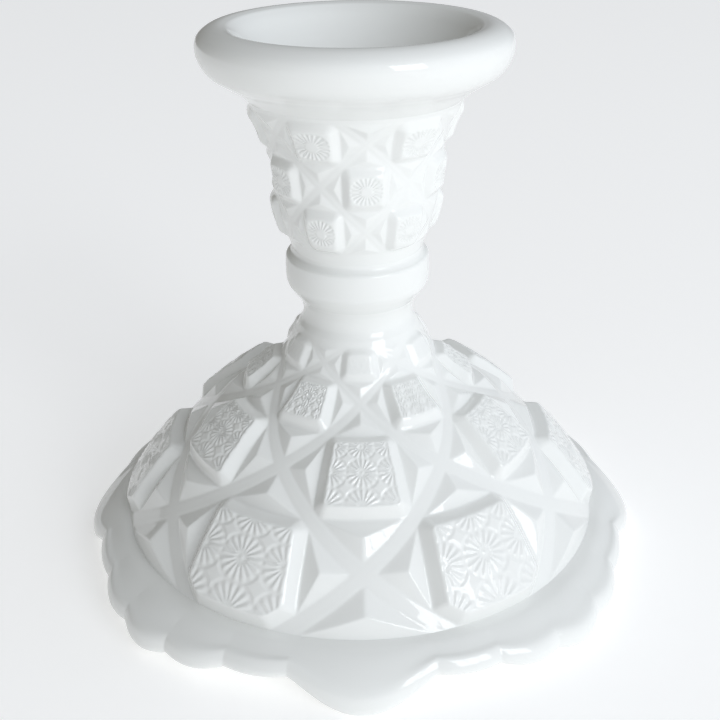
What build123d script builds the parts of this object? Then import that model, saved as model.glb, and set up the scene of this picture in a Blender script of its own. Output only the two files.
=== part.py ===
from build123d import *
from math import cos, hypot, radians, sin
import os

# A pressed milk-glass candlestick: a hollow quilted dome on a scalloped skirt with four corner
# points, a short stem with a plain ring, and a quilted cup with a fat rolled rim. The real one is
# a single pressing, so each node is one moulded section and its neighbours meet it face to face.
# Millimetres, +Z up, origin on the table under the middle. Front is -Y.

# --- driving dimensions -------------------------------------------------------------------------
HEIGHT = 101.6  # table to the crest of the rim, 4 in
POINT_R = 55.3  # centre line to the tip of a corner point
SKIRT_TOP_Z = 8.6  # crease where the quilted dome ends and the skirt begins
DOME_TOP_Z = 47.0  # where the quilting has died out into the stem
RING_BOTTOM_Z = 52.4  # the ring's rounded underside starts here
RING_TOP_Z = 62.2  # the groove between the ring and the cup
RIM_BOTTOM_Z = 89.6  # the corner under the rolled rim

WALL = 5.0  # glass thickness of the hollow dome, under the ribs
STEM_R = 10.3
RING_FOOT_R = 11.0  # where the stem spreads into the ring
RING_R = 13.3
NECK_R = 12.0  # groove above the ring

# Outside of the dome at its ribs, (radius, height), from the skirt up to the stem. The middle four
# are the levels where the ribs cross and where the pads are centred.
DOME_FOOT = (46.4, SKIRT_TOP_Z)
DOME_LEVELS = [(40.3, 17.4), (28.4, 29.6), (17.5, 37.6), (13.0, 43.2)]
DOME_SHOULDER = (11.2, DOME_TOP_Z)
# Hollow under the dome, from the axis down to the skirt.
HOLLOW_TOP = (0, 36.0)
HOLLOW_WALL = [(14.0, 33.2), (26.4, 25.0), (36.2, 14.9)]
HOLLOW_FOOT = (DOME_FOOT[0] - WALL, SKIRT_TOP_Z)

# Candle socket for a standard 7/8 in taper (22.2 mm), blind, with a funnel above it.
SOCKET_R = 11.3
SOCKET_BOTTOM_Z = 67.0
SOCKET_TOP_Z = 87.5
FUNNEL_FOOT = (SOCKET_R + 0.6, RIM_BOTTOM_Z)

CUP_TOP = (19.0, RIM_BOTTOM_Z)  # smooth band under the rim
RIM_OUTSIDE = [(21.2, 91.4), (25.6, 94.4), (27.1, 97.9), (26.3, 100.4)]
RIM_CREST = (23.1, HEIGHT)
FUNNEL_WALL = [(19.6, 99.0), (15.2, 94.6)]

# Quilting: six pads in a row, every other row shifted by half a pad. A pad is an upright tapered
# block whose flat face stands proud of the ribs.
PADS_PER_ROW = 6
PAD_SHARE_WIDE = 0.44  # half width, as a share of half a pitch round the row
PAD_SHARE_TALL = 0.48  # half height, as a share of the step from one level to the next
LOWEST_PAD_STRETCH = 1.7  # the lowest pads run on down to the skirt
HIGHEST_PAD_STRETCH = 1.6  # the highest pads run on up to the stem
PAD_SLOPE = 1.5  # how much each side of the face draws in from the ribs
PAD_RISES = [1.9, 1.9, 1.4, 1.1]  # how far the pads of each row stand proud of the ribs
PAD_ROOT = 1.8  # how deep a pad's root is buried in the wall
CUP_PAD_RISE = 1.1
CUP_PAD_SHARE_WIDE = 0.5
CUP_PATTERN_TURN = 6.0  # the cup's pads are turned this far from the dome's, degrees
CUP_PAD_LEVELS = [(14.2, 69.0), (15.0, 77.0), (16.7, 85.0)]  # radius of the ribs, height
CUP_PAD_HALF_TALL = 3.5

# Skirt: a rounded band that turns down steeply to its edge. Its outside and its underside, from
# the dome outwards. The edge hangs down to the table at the corner points; between them it lies
# higher, on a cone whose line passes through the two points of SCALLOP_LINE.
SKIRT_OUTSIDE = [(49.5, 8.0), (52.3, 6.8), (54.2, 5.6), (56.8, 3.4)]
FLAT_INNER_R = 54.4  # inside edge of the small flats that the corner points stand on
SKIRT_UNDERSIDE = [(52.2, 4.4), (43.0, 5.0)]
SCALLOP_LINE = [(52.2, 4.4), (57.2, 0.9)]
# Its edge, seen from above: the angle each side of a corner point, then the radii of the notches
# between the scallops and of the scallops' middles, from one corner point to the next.
POINT_HALF_ANGLE = 14.0
NOTCH_R = [52.4, 53.6, 54.7, 54.7, 53.6, 52.4]
LOBE_R = [53.4, 55.2, 56.0, 55.2, 53.4]

os.makedirs("parts", exist_ok=True)


def finish(part, label):
    """Names a finished section and writes its STEP file."""
    part.label = label
    export_step(part, f"parts/{label}.step")


def polar(radius, angle):
    """A point of a plan outline, from its distance and direction, in degrees from +X."""
    return (radius * cos(radians(angle)), radius * sin(radians(angle)))


def pad_plane(level, below, above):
    """The plane that lies on the wall at a level, from the levels on both sides of it.
    Its X runs round the body, its Y runs up the wall and its Z points outwards."""
    rise = (above[0] - below[0], above[1] - below[1])
    length = hypot(*rise)
    outward = (rise[1] / length, 0, -rise[0] / length)
    return Plane(origin=(level[0], 0, level[1]), x_dir=(0, 1, 0), z_dir=outward)


def pad(plane, low, high, wide_low, wide_high, rise):
    """One quilt pad: a block on the plane, from low to high along the wall, with half widths
    wide_low and wide_high at its ends, whose face draws in by the slope on every side."""
    with BuildPart() as block:
        for offset, inset in ((-PAD_ROOT, -PAD_SLOPE * PAD_ROOT / rise), (rise, PAD_SLOPE)):
            with BuildSketch(plane.offset(offset)):
                with BuildLine():
                    Polyline(
                        (-wide_low + inset, -low + inset),
                        (wide_low - inset, -low + inset),
                        (wide_high - inset, high - inset),
                        (-wide_high + inset, high - inset),
                        close=True,
                    )
                make_face()
        loft()
    return block.part


def step(a, b):
    """Distance between two (radius, height) points."""
    return hypot(b[0] - a[0], b[1] - a[1])


# --- scalloped_skirt: flared foot, hollow, with four drooping corner points ----------------------
with BuildPart() as under_scallops:  # the space below the edge, between the corner points
    with BuildSketch(Plane.XZ):
        with BuildLine():
            (inner_r, inner_z), (outer_r, outer_z) = SCALLOP_LINE
            Polyline((inner_r, -1), (inner_r, inner_z), (outer_r, outer_z), (outer_r, -1), close=True)
        make_face()
    revolve(axis=Axis.Z)
    with BuildSketch(Plane.XY.offset(-1)):
        for corner in range(4):
            with BuildLine():
                left, right = 90 * corner - POINT_HALF_ANGLE, 90 * corner + POINT_HALF_ANGLE
                Polyline((0, 0), polar(2 * POINT_R, left), polar(2 * POINT_R, right), close=True)
            make_face()
    extrude(amount=SKIRT_TOP_Z, mode=Mode.SUBTRACT)

with BuildPart() as skirt:
    with BuildSketch(Plane.XZ):
        with BuildLine():
            Spline(DOME_FOOT, *SKIRT_OUTSIDE)
            Polyline(
                SKIRT_OUTSIDE[-1], (SKIRT_OUTSIDE[-1][0], 0), (FLAT_INNER_R, 0), *SKIRT_UNDERSIDE,
                HOLLOW_FOOT, DOME_FOOT,
            )
        make_face()
    revolve(axis=Axis.Z)
    with BuildSketch():
        with BuildLine():
            scallop = (90 - 2 * POINT_HALF_ANGLE) / len(LOBE_R)
            for corner in range(4):
                start = 90 * corner
                first = polar(NOTCH_R[-1], start - POINT_HALF_ANGLE)
                last = polar(NOTCH_R[0], start + POINT_HALF_ANGLE)
                ThreePointArc(first, polar(POINT_R, start), last)
                for i, lobe_r in enumerate(LOBE_R):
                    angle = start + POINT_HALF_ANGLE + scallop * i
                    ThreePointArc(
                        polar(NOTCH_R[i], angle),
                        polar(lobe_r, angle + scallop / 2),
                        polar(NOTCH_R[i + 1], angle + scallop),
                    )
        make_face()
    extrude(amount=SKIRT_TOP_Z, mode=Mode.INTERSECT)
    add(under_scallops.part, mode=Mode.SUBTRACT)
finish(skirt.part, "scalloped_skirt")

# --- quilted_dome: hollow bell with four rows of pads --------------------------------------------
with BuildPart() as dome:
    with BuildSketch(Plane.XZ):
        with BuildLine():
            Spline(DOME_FOOT, *DOME_LEVELS, DOME_SHOULDER)
            Polyline(DOME_SHOULDER, (0, DOME_TOP_Z), HOLLOW_TOP)
            Spline(HOLLOW_TOP, *HOLLOW_WALL, HOLLOW_FOOT, tangents=[(1, 0), (0.45, -0.9)])
            Line(HOLLOW_FOOT, DOME_FOOT)
        make_face()
    revolve(axis=Axis.Z)
    chain = [DOME_FOOT, *DOME_LEVELS, DOME_SHOULDER]
    half_pitch = 180 / PADS_PER_ROW
    for row, level in enumerate(DOME_LEVELS, start=1):
        below, above = chain[row - 1], chain[row + 1]
        low = PAD_SHARE_TALL * step(below, level) * (LOWEST_PAD_STRETCH if row == 1 else 1)
        highest = row == len(DOME_LEVELS)
        high = PAD_SHARE_TALL * step(level, above) * (HIGHEST_PAD_STRETCH if highest else 1)
        slope = (above[0] - below[0]) / step(below, above)
        half_wide = PAD_SHARE_WIDE * radians(half_pitch)
        block = pad(
            pad_plane(level, below, above),
            low,
            high,
            half_wide * (level[0] - slope * low),
            half_wide * (level[0] + slope * high),
            PAD_RISES[row - 1],
        )
        with PolarLocations(0, PADS_PER_ROW, start_angle=half_pitch * ((row + 1) % 2)):
            add(block)
    split(bisect_by=Plane.XY.offset(SKIRT_TOP_Z), keep=Keep.TOP)
    split(bisect_by=Plane.XY.offset(DOME_TOP_Z), keep=Keep.BOTTOM)
finish(dome.part, "quilted_dome")

# --- stem: short solid waist between the dome and the ring ---------------------------------------
with BuildPart() as stem:
    with BuildSketch(Plane.XZ):
        with BuildLine():
            ThreePointArc(DOME_SHOULDER, (STEM_R, 49.8), (RING_FOOT_R, RING_BOTTOM_Z))
            Polyline((RING_FOOT_R, RING_BOTTOM_Z), (0, RING_BOTTOM_Z), (0, DOME_TOP_Z), DOME_SHOULDER)
        make_face()
    revolve(axis=Axis.Z)
finish(stem.part, "stem")

# --- stem_ring: plain collar with a square top edge and a rounded underside ----------------------
with BuildPart() as ring:
    with BuildSketch(Plane.XZ):
        with BuildLine():
            ThreePointArc((RING_FOOT_R, RING_BOTTOM_Z), (RING_R - 0.5, 54.1), (RING_R, 56.6))
            Polyline(
                (RING_R, 56.6), (RING_R - 0.1, RING_TOP_Z - 1.9), (RING_R - 0.5, RING_TOP_Z - 1.3),
                (NECK_R, RING_TOP_Z), (0, RING_TOP_Z), (0, RING_BOTTOM_Z), (RING_FOOT_R, RING_BOTTOM_Z),
            )
        make_face()
    revolve(axis=Axis.Z)
finish(ring.part, "stem_ring")

# --- candle_cup: quilted barrel with the blind candle socket -------------------------------------
with BuildPart() as cup:
    with BuildSketch(Plane.XZ):
        with BuildLine():
            Spline((NECK_R, RING_TOP_Z), (12.5, 63.8), *CUP_PAD_LEVELS, CUP_TOP)
            Polyline(CUP_TOP, (0, RIM_BOTTOM_Z), (0, RING_TOP_Z), (NECK_R, RING_TOP_Z))
        make_face()
    revolve(axis=Axis.Z)
    half_wide = CUP_PAD_SHARE_WIDE * radians(half_pitch)
    for row, level in enumerate(CUP_PAD_LEVELS):
        block = pad(
            pad_plane(level, CUP_PAD_LEVELS[0], CUP_PAD_LEVELS[2]),
            CUP_PAD_HALF_TALL,
            CUP_PAD_HALF_TALL,
            half_wide * level[0],
            half_wide * level[0],
            CUP_PAD_RISE,
        )
        turn = CUP_PATTERN_TURN + half_pitch * (row % 2)
        with PolarLocations(0, PADS_PER_ROW, start_angle=turn):
            add(block)
    split(bisect_by=Plane.XY.offset(RIM_BOTTOM_Z), keep=Keep.BOTTOM)
    with BuildSketch(Plane.XZ):
        with BuildLine():
            Polyline(
                (0, SOCKET_BOTTOM_Z), (SOCKET_R, SOCKET_BOTTOM_Z), (SOCKET_R, SOCKET_TOP_Z),
                FUNNEL_FOOT, (0, RIM_BOTTOM_Z), close=True,
            )
        make_face()
    revolve(axis=Axis.Z, mode=Mode.SUBTRACT)
finish(cup.part, "candle_cup")

# --- rolled_rim: fat rounded lip round the funnel that leads into the socket ---------------------
with BuildPart() as rim:
    with BuildSketch(Plane.XZ):
        with BuildLine():
            Spline(CUP_TOP, *RIM_OUTSIDE, RIM_CREST, tangents=[(0.9, 0.35), (-1, 0)])
            Spline(RIM_CREST, *FUNNEL_WALL, FUNNEL_FOOT, tangents=[(-1, 0), (-0.35, -1)])
            Line(FUNNEL_FOOT, CUP_TOP)
        make_face()
    revolve(axis=Axis.Z)
finish(rim.part, "rolled_rim")
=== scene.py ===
import math

import bpy
import numpy as np
from bpy.props import FloatProperty, FloatVectorProperty, IntProperty, PointerProperty
from mathutils import Matrix, Vector


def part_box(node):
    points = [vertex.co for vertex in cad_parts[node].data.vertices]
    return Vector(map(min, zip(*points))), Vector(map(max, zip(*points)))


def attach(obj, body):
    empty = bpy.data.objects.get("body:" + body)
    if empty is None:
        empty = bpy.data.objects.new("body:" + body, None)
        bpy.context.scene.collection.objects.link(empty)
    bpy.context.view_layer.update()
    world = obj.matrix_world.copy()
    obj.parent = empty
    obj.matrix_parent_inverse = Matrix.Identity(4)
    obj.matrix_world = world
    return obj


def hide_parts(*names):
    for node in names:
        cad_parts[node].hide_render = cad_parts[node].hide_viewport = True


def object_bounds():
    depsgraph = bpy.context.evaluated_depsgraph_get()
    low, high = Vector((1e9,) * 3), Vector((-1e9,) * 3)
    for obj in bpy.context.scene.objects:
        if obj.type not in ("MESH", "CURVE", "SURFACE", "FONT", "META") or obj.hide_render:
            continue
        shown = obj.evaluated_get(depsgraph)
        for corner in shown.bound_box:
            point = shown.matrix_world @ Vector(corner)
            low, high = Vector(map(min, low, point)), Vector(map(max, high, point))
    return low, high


bl_info = {
    "name": "Quilted Milk Glass Candlestick",
    "version": (1, 0, 0),
    "blender": (4, 5, 0),
    "location": "3D View > Sidebar > Candlestick",
    "description": "Builds a pressed milk-glass candlestick section by section",
    "category": "Add Mesh",
}

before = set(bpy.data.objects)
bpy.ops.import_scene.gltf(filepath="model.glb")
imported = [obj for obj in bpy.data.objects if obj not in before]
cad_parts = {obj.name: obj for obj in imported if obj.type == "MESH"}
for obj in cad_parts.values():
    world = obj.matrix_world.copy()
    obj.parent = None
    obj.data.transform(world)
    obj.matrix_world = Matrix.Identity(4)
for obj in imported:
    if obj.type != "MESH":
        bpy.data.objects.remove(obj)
CAD_LOW, CAD_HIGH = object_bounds()

MM = 0.001
BODY = "root"

# Heights where one moulded section meets the next, in millimetres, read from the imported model.
SKIRT_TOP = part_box("scalloped_skirt")[1].z / MM
DOME_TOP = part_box("quilted_dome")[1].z / MM
RING_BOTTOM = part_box("stem_ring")[0].z / MM
RING_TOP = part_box("stem_ring")[1].z / MM
RIM_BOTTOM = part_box("rolled_rim")[0].z / MM
HEIGHT = CAD_HIGH.z / MM
POINT_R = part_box("scalloped_skirt")[1].x / MM
RING_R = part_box("stem_ring")[1].x / MM
RIM_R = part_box("rolled_rim")[1].x / MM

# Outside of the dome at its ribs: level, radius, height. Ribs cross and pads sit at whole levels.
DOME_PROFILE = np.array([
    (0.42, 46.4, SKIRT_TOP), (1, 40.3, 17.4), (2, 28.4, 29.6), (3, 17.5, 37.6),
    (4, 13.0, 43.2), (4.75, 11.2, DOME_TOP),
])
# Outside of the cup at its ribs, in the same way.
CUP_PROFILE = np.array([
    (0.1, 12.0, RING_TOP), (0.35, 12.5, 63.8), (1, 14.2, 69.0), (2, 15.0, 77.0), (3, 16.7, 85.0),
    (3.6, 19.0, RIM_BOTTOM),
])
# Where the patterns begin and end, counted in the same levels.
DOME_PATTERN = (0.42, 4.62)
CUP_PATTERN = (0.47, 3.5)
# The dome is made in three bands: the levels that part them outside, and the heights inside.
DOME_CUTS = [DOME_PROFILE[0, 0], 1.5, 2.5, DOME_PROFILE[-1, 0]]
LINING_CUTS = [SKIRT_TOP, 17.0, 27.5]
# The hollow under the dome: radius and height, from the axis down to the skirt.
HOLLOW = [(0.0, 36.0), (7.0, 35.4), (14.0, 33.2), (26.4, 25.0), (36.2, 14.9), (41.4, SKIRT_TOP)]
SOCKET_R = 11.3
SOCKET_BOTTOM = 67.0
SOCKET_TOP = 87.5
SOCKET_ROUND = 1.0
FUNNEL_R = SOCKET_R + 0.6
WAIST_R = DOME_PROFILE[-1, 1]
RING_FOOT_R = 11.0
NECK_R = CUP_PROFILE[0, 1]
HALF_PITCH = math.radians(30)  # six pads in a row
# Roundings of the pressed pattern, in mm: a pad's corners and top edge, where a rib cuts it, its
# foot, and the edges and foot of a pyramid.
PAD_ROUND, RIB_CUT_ROUND, PAD_FOOT_ROUND = 0.35, 0.5, 0.16
PYRAMID_ROUND, PYRAMID_FOOT_ROUND = 0.25, 0.1


class CandlestickSettings(bpy.types.PropertyGroup):
    """The sizes and finish of the pressed pattern that a maker would change."""

    rib_half: FloatProperty(
        name="Rib half width", description="Half the width of a rib, as a share of a diamond",
        default=0.13, min=0.02, max=0.3,
    )
    rib_height: FloatProperty(
        name="Rib height", description="How far a rib stands above the valleys beside it",
        default=0.05 * MM, unit="LENGTH",
    )
    pad_rise: FloatProperty(
        name="Pad rise", description="Height of a pad over the square root of its size, in mm",
        default=0.5,
    )
    pyramid_slope: FloatProperty(
        name="Pyramid slope", description="Steepness of the small pyramids beside the pads",
        default=0.42,
    )
    daisy_depth: FloatProperty(
        name="Daisy depth", description="Depth of the rays that are pressed into the pads",
        default=0.22 * MM, unit="LENGTH",
    )
    daisy_rays: IntProperty(
        name="Daisy rays", description="Rays in each pressed daisy", default=16, min=6, max=32,
    )
    dome_turn: FloatProperty(
        name="Dome turn", description="How far the dome's pattern is turned from the skirt's points",
        default=math.radians(0.7), subtype="ANGLE",
    )
    cup_turn: FloatProperty(
        name="Cup turn", description="How far the cup's pattern is turned from the dome's",
        default=math.radians(6), subtype="ANGLE",
    )
    columns: IntProperty(
        name="Columns", description="Mesh columns round the patterned sections",
        default=1080, min=120,
    )
    glass_colour: FloatVectorProperty(
        name="Glass colour", description="Body colour of the opaque glass", subtype="COLOR",
        default=(0.80, 0.81, 0.80), min=0, max=1,
    )
    # Painted shade: this colour darkens and warms the valleys of the pattern, standing in for the shade
    # that falls in its recesses.
    valley_shade_colour: FloatVectorProperty(
        name="Crevice colour", description="Painted shade darkening the valleys of the pattern",
        subtype="COLOR", default=(0.70, 0.70, 0.67), min=0, max=1,
    )
    roughness: FloatProperty(
        name="Roughness", description="Roughness of the fire-polished surface", default=0.07,
        min=0, max=1,
    )


def settings():
    """The sizes and colours in the sidebar panel."""
    return bpy.context.scene.candlestick


# --- curves and relief --------------------------------------------------------------------------

def hermite(knots, values, at):
    """A smooth curve through values given at knots: cubic pieces whose slope at each knot is the
    mean of the slopes on both sides of it, weighted to the nearer side."""
    knots, values, at = np.asarray(knots, float), np.asarray(values, float), np.asarray(at, float)
    gap = np.diff(knots)
    chord = np.diff(values, axis=0) / gap.reshape((-1,) + (1,) * (values.ndim - 1))
    slope = np.empty_like(values)
    slope[0], slope[-1] = chord[0], chord[-1]
    weight = (gap[1:] / (gap[1:] + gap[:-1])).reshape((-1,) + (1,) * (values.ndim - 1))
    slope[1:-1] = weight * chord[:-1] + (1 - weight) * chord[1:]
    i = np.clip(np.searchsorted(knots, at, side="right") - 1, 0, len(gap) - 1)
    grow = (...,) + (None,) * (values.ndim - 1)
    step, s = gap[i][grow], ((at - knots[i]) / gap[i])[grow]
    return (
        (1 + 2 * s) * (1 - s) ** 2 * values[i] + s * (1 - s) ** 2 * step * slope[i]
        + s**2 * (3 - 2 * s) * values[i + 1] - s**2 * (1 - s) * step * slope[i + 1]
    )


def path(points, count):
    """count points along a smooth curve through (radius, height) points, evenly spaced by the
    chord lengths between them."""
    points = np.asarray(points, float)
    knots = np.concatenate([[0], np.cumsum(np.hypot(*np.diff(points, axis=0).T))])
    return hermite(knots, points, np.linspace(0, knots[-1], count))


def arc(centre, radius, start, end, count):
    """count points on a circle of (radius, height), between two angles in degrees."""
    angle = np.radians(np.linspace(start, end, count))
    return np.stack([centre[0] + radius * np.cos(angle), centre[1] + radius * np.sin(angle)], 1)


def soft_min(a, b, width):
    """The smaller of a and b, with the corner between them rounded over the given width."""
    near = np.clip(width - np.abs(a - b), 0, None) / width
    return np.minimum(a, b) - near**2 * width / 4


def soft_floor(a, width):
    """a where it is well above nought and 0 well below, with the corner rounded over the width."""
    return (a + np.sqrt(a * a + width * width)) / 2


def soft_abs(a, width):
    """The size of a, with the corner at nought rounded over the given width."""
    return np.sqrt(a * a + width * width) - width


def smooth_step(a, low, high):
    """0 below low and 1 above high, with an S curve between them."""
    s = np.clip((a - low) / (high - low), 0, 1)
    return s * s * (3 - 2 * s)


def daisies(x, y, pitch, rays, button):
    """Stars of rays on a square lattice of that pitch, 0 to 1: round each lattice point the height
    is a wave of the angle, which fades in outside a small button and out before the next star."""
    dx, dy = x - np.round(x / pitch) * pitch, y - np.round(y / pitch) * pitch
    reach, angle = np.hypot(dx, dy) / (pitch / 2), np.arctan2(dy, dx)
    wave = 0.5 + 0.5 * np.cos(rays * angle)
    petals = wave * smooth_step(reach, button, button + 0.25) * (1 - smooth_step(reach, 0.82, 1.1))
    border = smooth_step(reach, 1.02, 1.2)
    return petals + border * 0.8 + 0.5 * (1 - smooth_step(reach, 0.0, button))


def quilt(u, v, per_u, per_v, span, rows, pad_wide, pad_tall, round_daisy=False):
    """Height of the pressed quilting over its ribs' edges, in mm, and how deep in a valley a point
    is. u counts half pads round the body and v counts levels up it, and per_u and per_v are their
    lengths in mm. Diamonds are centred where u + v is even. In each, distance from the middle, as
    the sum of the two coordinates' sizes, tells the ribs on its edges, and the distances to an
    upright four-sided footprint, which the ribs cut at its corners, tell the pad. Each corner left
    over is a three-sided pyramid: the least of its distances to its three edges, times a slope.
    The pattern ends at the two levels of span; half diamonds there hold one pyramid each, and the
    outer ones of the rows of pads run on to the end."""
    s = settings()
    p, q = np.round((u + v) / 2), np.round((u - v) / 2)
    a, b = u - (p + q), v - (p - q)
    row = np.broadcast_to(p - q, a.shape)
    padded = (row >= 1) & (row <= rows)
    wide, tall = soft_abs(a, 0.012), soft_abs(b, 0.012)
    lean = 1 / np.sqrt(1 / per_u**2 + 1 / per_v**2)
    rib_edge = (1 - s.rib_half - wide - tall) * lean
    to_foot, to_head = (v - span[0]) * per_v, (span[1] - v) * per_v
    side = (pad_wide - wide) * per_u
    end = np.minimum(
        np.where(row == 1, to_foot, (pad_tall + b) * per_v),
        np.where(row == rows, to_head, (pad_tall - b) * per_v),
    )
    size = np.sqrt(per_u * per_v)
    rise = s.pad_rise * np.sqrt(size)
    inside = soft_min(soft_min(side, end, PAD_ROUND), rib_edge, RIB_CUT_ROUND)
    pad = np.where(padded, soft_floor(soft_min(inside, rise, PAD_ROUND), PAD_FOOT_ROUND), 0)
    border = np.minimum(to_foot, to_head)
    beside = np.where(padded, -np.minimum(side, end), border)
    within = soft_min(soft_min(rib_edge, beside, PYRAMID_ROUND), border, PYRAMID_ROUND)
    pyramid = soft_floor(within * s.pyramid_slope, PYRAMID_FOOT_ROUND)
    rib = s.rib_height / MM * smooth_step(-rib_edge, -0.1, 0.8)
    top = np.where(padded, smooth_step(inside, rise - 0.1, rise + 0.3), 0)
    half_face = pad_wide * per_u - rise
    x, y = a * per_u, b * per_v
    if round_daisy:
        reach = np.hypot(x, y) / half_face
        wave = 0.5 + 0.5 * np.cos(s.daisy_rays * 1.25 * np.arctan2(y, x))
        star = 1 - (1 - wave) * smooth_step(reach, 0.3, 0.5) * (1 - smooth_step(reach, 0.95, 1.1))
    else:
        star = daisies(x, y, half_face, s.daisy_rays, 0.16)
    plain = 1 - 0.8 * smooth_step(row, 3.2, 3.8) if not round_daisy else 1
    face = s.daisy_depth / MM * (star - 1) * top * plain
    height = pad + pyramid + rib + face
    # How deep in a valley a point is, 0 to 1: the glass paints shade in the valleys and the daisies' rays
    # by it, and scatters its specks by it.
    valley = np.exp(-((pad + pyramid) / 0.4) ** 2) * 0.6 + 0.5 * top * (1 - np.clip(star, 0, 1))
    return height, np.clip(valley, 0, 1)


# --- meshes -------------------------------------------------------------------------------------

def circle(columns):
    """Evenly spaced angles round the axis, starting at the front."""
    return np.linspace(0, 2 * math.pi, columns, endpoint=False)


def rings(radius, height, angle):
    """Points in mm: x is the radius times the sine of the angle, and y is minus the radius times
    its cosine, so that angle nought is the front."""
    x, y = radius * np.sin(angle), -radius * np.cos(angle)
    return np.stack(np.broadcast_arrays(x, y, height), -1)


def spun(profile, columns):
    """A (radius, height) profile carried round the axis: rings of points, in mm."""
    profile = np.asarray(profile)
    return rings(profile[:, 0, None], profile[:, 1, None], circle(columns))


def grid_normals(points):
    """Normals of a grid of rings: the cross product of its steps round and its steps along."""
    around = np.roll(points, -1, 1) - np.roll(points, 1, 1)
    along = np.gradient(points, axis=0)
    normal = np.cross(around, along)
    return normal / np.maximum(np.linalg.norm(normal, axis=-1, keepdims=True), 1e-12)


def flat_normals(points, up):
    """Normals of a flat annulus or disc that faces up (1) or down (-1)."""
    normal = np.zeros_like(points)
    normal[..., 2] = up
    return normal


def section(name, nodes, spans, poles=(False, False), valleys=None):
    """A closed mesh from spans of rings, each a pair of points and normals grids whose first ring
    is the last ring of the span before it. With no poles the last span ends on the first ring, and
    with a pole a span starts or ends on the axis. Faces run anticlockwise seen from outside."""
    columns = spans[0][0].shape[1]
    valleys = valleys or [None] * len(spans)
    points, shade, ring_ids = [], [], []
    count = 0
    for (grid, _), deep in zip(spans, valleys):
        shared = min(count, 1)  # a later span begins on the ring that is already there
        deep = np.zeros(grid.shape[:2]) if deep is None else deep
        points.append(grid[shared:])
        shade.append(deep[shared:])
        ring_ids.append(np.arange(len(grid)) + count - shared)
        count = ring_ids[-1][-1] + 1
    points, shade = np.concatenate(points), np.concatenate(shade)
    if not any(poles):  # the last ring is the first one again
        points, shade = points[:-1], shade[:-1]
        ring_ids[-1][-1] = 0
    index = np.arange(len(points) * columns).reshape(len(points), columns)
    keep = np.ones(len(points) * columns, bool)
    if poles[0]:
        index[0] = index[0, 0]
        keep[1:columns] = False
    if poles[1]:
        index[-1] = index[-1, 0]
        keep[-columns + 1:] = False
    index = (np.cumsum(keep) - 1)[index]
    corners, corner_normals, starts = [], [], []
    at = 0
    for ids, (_, normal) in zip(ring_ids, spans):
        for low in range(len(ids) - 1):
            lower, upper = index[ids[low]], index[ids[low + 1]]
            quad = np.stack([lower, np.roll(lower, -1), np.roll(upper, -1), upper], 1)
            n_low, n_up = normal[low], normal[low + 1]
            quad_n = np.stack([n_low, np.roll(n_low, -1, 0), np.roll(n_up, -1, 0), n_up], 1)
            use = [0, 1, 2, 3]
            if lower[0] == lower[1]:
                use = [0, 2, 3]
            if upper[0] == upper[1]:
                use = [0, 1, 2]
            corners.append(quad[:, use].ravel())
            corner_normals.append(quad_n[:, use].reshape(-1, 3))
            starts.append(at + np.arange(columns) * len(use))
            at += columns * len(use)
    corners, starts = np.concatenate(corners), np.concatenate(starts)
    mesh = bpy.data.meshes.new(name)
    mesh.vertices.add(int(keep.sum()))
    mesh.vertices.foreach_set("co", (points.reshape(-1, 3)[keep] * MM).astype(np.float32).ravel())
    mesh.loops.add(len(corners))
    mesh.loops.foreach_set("vertex_index", corners.astype(np.int32))
    mesh.polygons.add(len(starts))
    mesh.polygons.foreach_set("loop_start", starts.astype(np.int32))
    mesh.update(calc_edges=True)
    mesh.polygons.foreach_set("use_smooth", np.ones(len(starts), bool))
    depth = mesh.attributes.new("valley", "FLOAT", "POINT")
    depth.data.foreach_set("value", shade.ravel()[keep].astype(np.float32))
    mesh.validate()
    mesh.normals_split_custom_set(np.concatenate(corner_normals))
    piece = bpy.data.objects.new(name, mesh)
    bpy.context.scene.collection.objects.link(piece)
    mesh.materials.append(milk_glass())
    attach(piece, BODY)
    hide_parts(*nodes)
    return piece


def wall(profile, columns):
    """A smooth span: a profile carried round the axis, with its own normals."""
    grid = spun(profile, columns)
    return grid, grid_normals(grid)


def bridge(start, end):
    """A span of one step between two rings, with the normals of the cone that joins them."""
    grid = np.stack([start, end])
    return grid, grid_normals(grid)


def disc(start, end, columns, up):
    """A flat span between two (radius, height) points of one height, facing up or down."""
    grid = spun([start, end], columns)
    return grid, flat_normals(grid, up)


def relief_wall(profile, levels, columns, turn, pattern):
    """A patterned span: points on a profile of (level, radius, height) rows, at the given levels,
    pushed out along the profile's normal by the pattern's height at each point."""
    angle = circle(columns)
    base = hermite(profile[:, 0], profile[:, 1:], levels)
    eps = 1e-3
    along = (hermite(profile[:, 0], profile[:, 1:], levels + eps) - base) / eps
    per_v = np.hypot(along[:, 0], along[:, 1])
    out = np.stack([along[:, 1], -along[:, 0]], 1) / per_v[:, None]
    per_u = base[:, 0] * HALF_PITCH
    u = (angle - turn)[None, :] / HALF_PITCH
    height, valley = pattern(u, levels[:, None], per_u[:, None], per_v[:, None])
    radius = base[:, 0, None] + height * out[:, 0, None]
    rise = base[:, 1, None] + height * out[:, 1, None]
    return rings(radius, rise, angle), valley


# --- glass --------------------------------------------------------------------------------------

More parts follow.
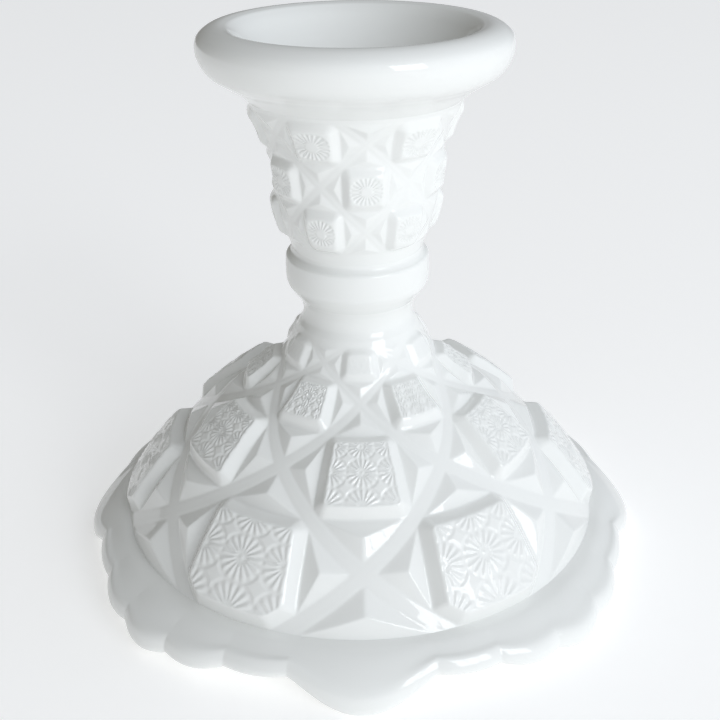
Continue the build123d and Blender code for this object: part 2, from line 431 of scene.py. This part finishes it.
class Value:
    """A shader socket that takes part in Python expressions: an operator adds a Math node."""

    def __init__(self, tree, socket):
        self.tree, self.socket = tree, socket

    def node(self, kind, inputs=(), output=0, **fields):
        """Adds a node: its settings first, then values or links for its sockets."""
        made = self.tree.nodes.new(kind)
        for name, value in fields.items():
            setattr(made, name, value)
        for key, value in dict(inputs).items():
            if isinstance(value, Value):
                self.tree.links.new(value.socket, made.inputs[key])
            else:
                made.inputs[key].default_value = value
        return Value(self.tree, made.outputs[output])

    def math(self, operation, *values):
        """Adds a Math node that works on the values."""
        return self.node("ShaderNodeMath", enumerate(values), operation=operation)

    def __add__(self, other):
        return self.math("ADD", self, other)

    def __radd__(self, other):
        return self.math("ADD", other, self)

    def __sub__(self, other):
        return self.math("SUBTRACT", self, other)

    def __rsub__(self, other):
        return self.math("SUBTRACT", other, self)

    def __mul__(self, other):
        return self.math("MULTIPLY", self, other)

    def __rmul__(self, other):
        return self.math("MULTIPLY", other, self)

    def above(self, low, high):
        """0 below low, 1 above high."""
        return self.node(
            "ShaderNodeMapRange", {"Value": self, "From Min": low, "From Max": high},
            interpolation_type="SMOOTHSTEP",
        )

    def blend(self, low, high):
        """One colour where this value is 0 and another where it is 1."""
        low = low if isinstance(low, Value) else (*low, 1)
        high = high if isinstance(high, Value) else (*high, 1)
        return self.node(
            "ShaderNodeMix", {0: self, 6: low, 7: high}, output=2, data_type="RGBA"
        )


def milk_glass():
    """Opaque white pressed glass: fire-polished and glossy, faintly cloudy, with a few dark specks,
    and painted shade, a darker and warmer tone, in the valleys of the pattern, and a skin that isn't
    quite flat."""
    found = bpy.data.materials.get("milk_glass")
    if found:
        return found
    s = settings()
    material = bpy.data.materials.new("milk_glass")
    material.use_nodes = True
    tree = material.node_tree
    shader = tree.nodes["Principled BSDF"]
    place = Value(tree, tree.nodes.new("ShaderNodeTexCoord").outputs["Object"])
    cloud = place.node("ShaderNodeTexNoise", {"Vector": place, "Scale": 38.0, "Detail": 3.0})
    swirl = place.node(
        "ShaderNodeTexNoise", {"Vector": place, "Scale": 90.0, "Detail": 2.0, "Distortion": 1.5}
    )
    dots = place.node(
        "ShaderNodeTexVoronoi", {"Vector": place, "Scale": 260.0, "Randomness": 1.0}
    )
    patches = place.node("ShaderNodeTexNoise", {"Vector": place, "Scale": 60.0, "Detail": 1.0})
    valley = place.node("ShaderNodeAttribute", output="Fac", attribute_name="valley")
    body = (cloud * 0.6 + swirl * 0.4).above(0.35, 0.7).blend(
        [c * 0.975 for c in s.glass_colour], s.glass_colour
    )
    # Painted shade: the body colour is blended towards the darker, warmer valley shade colour by how deep
    # in a valley each point is.
    valley_shaded = (valley * 0.55).blend(body, s.valley_shade_colour)
    speck = (1 - dots.above(0.05, 0.13)) * patches.above(0.56, 0.68) * (0.25 + valley * 0.75)
    colour = (speck * 0.55).blend(valley_shaded, (0.16, 0.15, 0.13))
    tree.links.new(colour.socket, shader.inputs["Base Color"])
    rough = s.roughness + cloud * 0.04 + valley * 0.06
    tree.links.new(rough.socket, shader.inputs["Roughness"])
    skin = place.node("ShaderNodeTexNoise", {"Vector": place, "Scale": 150.0, "Detail": 2.0})
    bump = place.node(
        "ShaderNodeBump", {"Height": skin, "Strength": 0.12, "Distance": 0.0004}, output="Normal"
    )
    tree.links.new(bump.socket, shader.inputs["Normal"])
    shader.inputs["IOR"].default_value = 1.5
    shader.inputs["Subsurface Weight"].default_value = 0.35
    shader.inputs["Subsurface Radius"].default_value = (1.0, 1.05, 1.1)
    shader.inputs["Subsurface Scale"].default_value = 0.0018
    return material


# --- sections -----------------------------------------------------------------------------------

def skirt_edge(angle):
    """Radius and height of the skirt's edge, in mm, at angles from the front: four corner points
    that hang down to the table, and five scallops between each two of them, which stand further
    out near the diagonals. Each is a sine hump over the line that joins its two notches."""
    half, scallops, notch_low = math.radians(14), 5, 4.4
    quarter = math.pi / 2
    turn = (angle + half) % quarter
    notch_r = np.array([52.3, 53.0, 54.6, 54.6, 53.0, 52.3])
    hump = np.array([0.4, 1.0, 1.4, 1.0, 0.4])
    place = np.clip((turn - 2 * half) / (quarter - 2 * half) * scallops, 0, scallops - 1e-6)
    k = place.astype(int)
    s = place - k
    scallop = notch_r[k] * (1 - s) + notch_r[k + 1] * s + hump[k] * np.sin(math.pi * s) ** 0.9
    point = notch_r[0] + (POINT_R - notch_r[0]) * np.sin(math.pi * turn / (2 * half)) ** 1.2
    low = np.where(
        turn < 2 * half, notch_low * (POINT_R - point) / (POINT_R - notch_r[0]),
        notch_low - 0.72 * (scallop - notch_r[0]),
    )
    return np.where(turn < 2 * half, point, scallop), low


class CANDLESTICK_OT_skirt(bpy.types.Operator):
    """Scalloped skirt: at every angle a smooth curve bulges out from the dome's foot, turns down
    steeply to the edge, rolls under it and comes back along the underside"""

    bl_idname = "candlestick.skirt"
    bl_label = "Scalloped skirt"

    def execute(self, context):
        columns = 1440
        angle = circle(columns)
        edge, low = skirt_edge(angle)
        foot_r, same = DOME_PROFILE[0, 1], np.ones(columns)
        under = (43.0, 5.0)
        # Share of the way, radius and height of each point of the curve.
        curve = [
            (0.0, foot_r * same, SKIRT_TOP * same),
            (0.22, foot_r + 0.3 * (edge - foot_r), 0.95 * SKIRT_TOP + 0.05 * low),
            (0.48, foot_r + 0.66 * (edge - foot_r), 0.74 * SKIRT_TOP + 0.26 * low),
            (0.66, edge - 1.0, 4.6 + 0.6 * low), (0.8, edge - 0.25, 3.4 + 0.64 * low),
            (1.0, edge, low + 0.6), (1.1, edge - 0.45, low), (1.2, edge - 1.3, low + 0.3),
            (1.5, under[0] * same, under[1] * same),
        ]
        share = np.array([point[0] for point in curve])
        along = np.concatenate([np.linspace(0, 1.2, 48), np.linspace(1.2, 1.5, 8)[1:]])
        radius = hermite(share, np.stack([point[1] for point in curve]), along)
        height = np.clip(hermite(share, np.stack([point[2] for point in curve]), along), 0, None)
        outer = rings(radius, height, angle)[::-1]
        inner = wall([HOLLOW[-1], (42.0, 6.4), under], columns)
        roof = disc((foot_r, SKIRT_TOP), HOLLOW[-1], columns, 1)
        section(
            "scalloped_skirt_glass", ["scalloped_skirt"],
            [(outer, grid_normals(outer)), roof, inner],
        )
        return {"FINISHED"}


class CANDLESTICK_OT_dome(bpy.types.Operator):
    """Quilted dome: the pattern of ribs, pads, pyramids and daisies over a hollow bell, made in
    three bands, one above another, that share their edge rings and normals"""

    bl_idname = "candlestick.dome"
    bl_label = "Quilted dome"

    def execute(self, context):
        columns = settings().columns
        rows = [74, 66, 70]
        levels = np.concatenate([
            np.linspace(low, high, n, endpoint=high == DOME_CUTS[-1])
            for low, high, n in zip(DOME_CUTS, DOME_CUTS[1:], rows)
        ])
        start, end = DOME_PATTERN

        def pattern(u, v, per_u, per_v):
            """Four rows of pads, faded out at both ends of the dome."""
            height, valley = quilt(u, v, per_u, per_v, DOME_PATTERN, 4, 0.485, 0.485)
            fade = 1 - 0.35 * smooth_step(v, 3.4, 3.6)  # the highest row of pads is shallower
            keep = fade * smooth_step(v, start, start + 0.02) * (1 - smooth_step(v, end - 0.32, end))
            return height * keep, valley * keep

        grid, valley = relief_wall(DOME_PROFILE, levels, columns, settings().dome_turn, pattern)
        normal = grid_normals(grid)
        hollow = path(HOLLOW, 25)
        marks = [0, rows[0], rows[0] + rows[1], len(levels) - 1]
        for k, name in enumerate(["lower", "middle", "upper"]):
            band = slice(marks[k], marks[k + 1] + 1)
            outer, deep = (grid[band], normal[band]), valley[band]
            foot = self.lining_point(hollow, LINING_CUTS[k])
            inside = hollow[hollow[:, 1] > foot[1] + 0.3]
            if name == "upper":
                lining = wall(np.concatenate([inside, [foot]]), columns)
                top = grid[-1, :, 2].mean()
                spans = [lining, bridge(lining[0][-1], outer[0][0]), outer,
                         disc((WAIST_R, top), (0, top), columns, 1)]
                poles, valleys = (True, True), [None, None, deep, None]
            else:
                head = self.lining_point(hollow, LINING_CUTS[k + 1])
                inside = inside[inside[:, 1] < head[1] - 0.3]
                lining = wall(np.concatenate([[head], inside, [foot]]), columns)
                spans = [outer, bridge(outer[0][-1], lining[0][0]), lining,
                         bridge(lining[0][-1], outer[0][0])]
                poles, valleys = (False, False), [deep, None, None, None]
            section(f"quilted_dome_{name}_glass", ["quilted_dome"], spans, poles, valleys)
        return {"FINISHED"}

    @staticmethod
    def lining_point(hollow, height):
        """Radius and height of the hollow's wall at a height, on a straight line between the two
        points of the hollow beside it."""
        return np.array([np.interp(height, hollow[::-1, 1], hollow[::-1, 0]), height])


class CANDLESTICK_OT_stem(bpy.types.Operator):
    """Stem and ring: plain turned profiles, the stem a short waist and the ring a collar with a
    square shoulder and a rounded underside"""

    bl_idname = "candlestick.stem"
    bl_label = "Stem and ring"

    def execute(self, context):
        columns = 360
        stem = path(
            [(WAIST_R, DOME_TOP), (10.55, 48.1), (10.3, 49.6), (10.5, 51.1),
             (RING_FOOT_R, RING_BOTTOM)], 24
        )
        section(
            "stem_glass", ["stem"],
            [disc((0, DOME_TOP), stem[0], columns, -1), wall(stem, columns),
             disc(stem[-1], (0, RING_BOTTOM), columns, 1)],
            poles=(True, True),
        )
        collar = np.concatenate([
            path([(RING_FOOT_R, RING_BOTTOM), (12.1, 53.8), (13.1, 55.4), (RING_R, 57.0)], 20),
            path([(RING_R, 57.0), (RING_R, 58.6), (RING_R - 0.1, 60.1)], 8)[1:],
            arc((RING_R - 0.8, 60.1), 0.7, 0, 80, 10)[1:],
            path([(RING_R - 0.68, 60.79), (12.1, 61.3), (NECK_R, RING_TOP)], 6)[1:],
        ])
        section(
            "stem_ring_glass", ["stem_ring"],
            [disc((0, RING_BOTTOM), collar[0], columns, -1), wall(collar, columns),
             disc(collar[-1], (0, RING_TOP), columns, 1)],
            poles=(True, True),
        )
        return {"FINISHED"}


class CANDLESTICK_OT_cup(bpy.types.Operator):
    """Candle cup: the same quilting in three rows on a barrel, with a smooth band under the rim,
    round the blind socket for the candle"""

    bl_idname = "candlestick.cup"
    bl_label = "Candle cup"

    def execute(self, context):
        columns = 720
        levels = np.linspace(CUP_PROFILE[0, 0], CUP_PROFILE[-1, 0], 116)
        start, end = CUP_PATTERN

        def pattern(u, v, per_u, per_v):
            """Three rows of pads, a fifth shallower than the dome's and faded out at both ends."""
            height, valley = quilt(u, v, per_u, per_v, CUP_PATTERN, 3, 0.5, 0.485, round_daisy=True)
            low, high = smooth_step(v, start - 0.03, start + 0.03), smooth_step(v, end - 0.04, end + 0.02)
            keep = low * (1 - high)
            return height * 0.8 * keep, valley * keep

        grid, valley = relief_wall(CUP_PROFILE, levels, columns, settings().cup_turn, pattern)
        bore_foot, bore_floor = SOCKET_BOTTOM + SOCKET_ROUND, SOCKET_R - SOCKET_ROUND
        bore = wall([(SOCKET_R, SOCKET_TOP), (SOCKET_R, bore_foot)], columns)
        mouth = spun([(FUNNEL_R, RIM_BOTTOM)], columns)[0]
        roof = np.stack([grid[-1], mouth])
        spans = [
            disc((0, RING_TOP), (NECK_R, RING_TOP), columns, -1),
            (grid, grid_normals(grid)),
            (roof, flat_normals(roof, 1)),
            bridge(mouth, bore[0][0]),
            bore,
            wall(arc((bore_floor, bore_foot), SOCKET_ROUND, 0, -90, 6), columns),
            disc((bore_floor, SOCKET_BOTTOM), (0, SOCKET_BOTTOM), columns, 1),
        ]
        section(
            "candle_cup_glass", ["candle_cup"], spans, poles=(True, True),
            valleys=[None, valley, None, None, None, None, None],
        )
        return {"FINISHED"}


class CANDLESTICK_OT_rim(bpy.types.Operator):
    """Rolled rim: a fat round lip carried round the axis, which falls away inside as a funnel down
    to the socket"""

    bl_idname = "candlestick.rim"
    bl_label = "Rolled rim"

    def execute(self, context):
        columns = 720
        lip = (21.6, 101.3)
        outside = path(
            [(CUP_PROFILE[-1, 1], RIM_BOTTOM), (19.9, 90.4), (21.2, 91.5), (23.6, 93.0),
             (25.6, 94.4), (26.6, 96.0), (RIM_R, 97.9), (26.8, 99.7), (25.2, 101.1),
             (23.1, HEIGHT), lip], 60
        )
        inside = path(
            [lip, (20.5, 100.3), (19.2, 98.6), (16.9, 96.0), (14.0, 93.2),
             (FUNNEL_R, RIM_BOTTOM)], 40
        )
        body = np.concatenate([outside, inside[1:]])
        section(
            "rolled_rim_glass", ["rolled_rim"],
            [wall(body, columns), disc(body[-1], body[0], columns, -1)],
        )
        return {"FINISHED"}


class CANDLESTICK_OT_stage(bpy.types.Operator):
    """Stage: a pale floor, a soft room with a brighter right side, a window beside the candlestick
    and the camera"""

    bl_idname = "candlestick.stage"
    bl_label = "Stage, light and camera"

    def execute(self, context):
        context.scene.view_settings.view_transform = "Standard"
        self.floor()
        self.room()
        self.window()
        self.camera()
        return {"FINISHED"}

    @staticmethod
    def floor():
        """A square pale sheet, a hair below the feet."""
        half, drop = 3.0, 2e-5
        mesh = bpy.data.meshes.new("floor")
        mesh.from_pydata(
            [(-half, -half, -drop), (half, -half, -drop), (half, half, -drop), (-half, half, -drop)],
            [], [(0, 1, 2, 3)],
        )
        floor = bpy.data.objects.new("floor", mesh)
        bpy.context.scene.collection.objects.link(floor)
        material = bpy.data.materials.new("pale_floor")
        material.use_nodes = True
        shader = material.node_tree.nodes["Principled BSDF"]
        shader.inputs["Base Color"].default_value = (0.92, 0.92, 0.92, 1)
        shader.inputs["Roughness"].default_value = 0.8
        shader.inputs["Emission Color"].default_value = (1, 1, 1, 1)
        shader.inputs["Emission Strength"].default_value = 0.34
        mesh.materials.append(material)

    @staticmethod
    def room():
        """Soft light from all round, cool and bright from the front right and fading to dim and
        warm at the left."""
        world = bpy.data.worlds.new("room")
        world.use_nodes = True
        bpy.context.scene.world = world
        tree = world.node_tree
        where = Value(tree, tree.nodes.new("ShaderNodeTexCoord").outputs["Generated"])
        towards = where.node(
            "ShaderNodeVectorMath", {0: where, 1: (0.9, -0.42, -0.08)}, output="Value",
            operation="DOT_PRODUCT",
        )
        glow = towards.above(-1.0, 0.8).blend((0.17, 0.155, 0.12), (1.0, 1.05, 1.12))
        background = tree.nodes["Background"]
        tree.links.new(glow.socket, background.inputs["Color"])
        background.inputs["Strength"].default_value = 0.75

    @staticmethod
    def window():
        """Three tall panes side by side, to the right of the camera."""
        centre = Vector((0, 0, 0.06))
        bearing, rise, distance = math.radians(38), math.radians(20), 1.2
        pane_w, pane_h, gap = 0.15, 0.62, 0.02
        back = Vector((
            math.sin(bearing) * math.cos(rise), -math.cos(bearing) * math.cos(rise), math.sin(rise),
        ))
        turn = back.to_track_quat("Z", "Y").to_matrix().to_4x4()
        for k in (-1, 0, 1):
            light = bpy.data.lights.new(f"pane_{k + 2}", "AREA")
            light.shape = "RECTANGLE"
            light.size, light.size_y = pane_w, pane_h
            light.energy = 1.45
            light.color = (0.95, 0.98, 1.0)
            lamp = bpy.data.objects.new(light.name, light)
            lamp.matrix_world = (
                Matrix.Translation(centre + back * distance) @ turn
                @ Matrix.Translation((k * (pane_w + gap), 0, 0))
            )
            bpy.context.scene.collection.objects.link(lamp)

    @staticmethod
    def camera():
        """Close in front and a little above, looking down at the middle of the stem."""
        data = bpy.data.cameras.new("camera")
        data.sensor_width = 36
        data.lens = 54.18
        data.shift_y = -0.0131
        data.clip_start = 0.01
        eye = bpy.data.objects.new("camera", data)
        position = Vector((0, -0.1878, 0.1329))
        pitch, yaw, roll = math.radians(26.36), math.radians(0.09), math.radians(0.64)
        forward = Vector((
            math.sin(yaw) * math.cos(pitch), math.cos(yaw) * math.cos(pitch), -math.sin(pitch),
        ))
        right = Vector((math.cos(yaw), -math.sin(yaw), 0))
        up = right.cross(forward)
        side = right * math.cos(roll) - up * math.sin(roll)
        top = right * math.sin(roll) + up * math.cos(roll)
        eye.matrix_world = Matrix.Translation(position) @ Matrix(
            (side, top, -forward)
        ).transposed().to_4x4()
        bpy.context.scene.collection.objects.link(eye)
        bpy.context.scene.camera = eye


class CANDLESTICK_PT_build(bpy.types.Panel):
    """The sidebar panel, with the pattern's settings and a button for each section"""

    bl_idname = "CANDLESTICK_PT_build"
    bl_label = "Candlestick"
    bl_space_type = "VIEW_3D"
    bl_region_type = "UI"
    bl_category = "Candlestick"

    def draw(self, context):
        for name in CandlestickSettings.__annotations__:
            self.layout.prop(context.scene.candlestick, name)
        for operator in OPERATORS:
            self.layout.operator(operator.bl_idname)


OPERATORS = (
    CANDLESTICK_OT_skirt, CANDLESTICK_OT_dome, CANDLESTICK_OT_stem, CANDLESTICK_OT_cup,
    CANDLESTICK_OT_rim, CANDLESTICK_OT_stage,
)
CLASSES = (CandlestickSettings, *OPERATORS, CANDLESTICK_PT_build)


def register():
    """Adds the settings, the operators and the panel."""
    for cls in CLASSES:
        bpy.utils.register_class(cls)
    bpy.types.Scene.candlestick = PointerProperty(type=CandlestickSettings)


def unregister():
    """Takes them away again, last first."""
    del bpy.types.Scene.candlestick
    for cls in reversed(CLASSES):
        bpy.utils.unregister_class(cls)


def main():
    register()
    for operator in OPERATORS:
        group, name = operator.bl_idname.split(".")
        getattr(getattr(bpy.ops, group), name)()


if __name__ == "__main__":
    main()
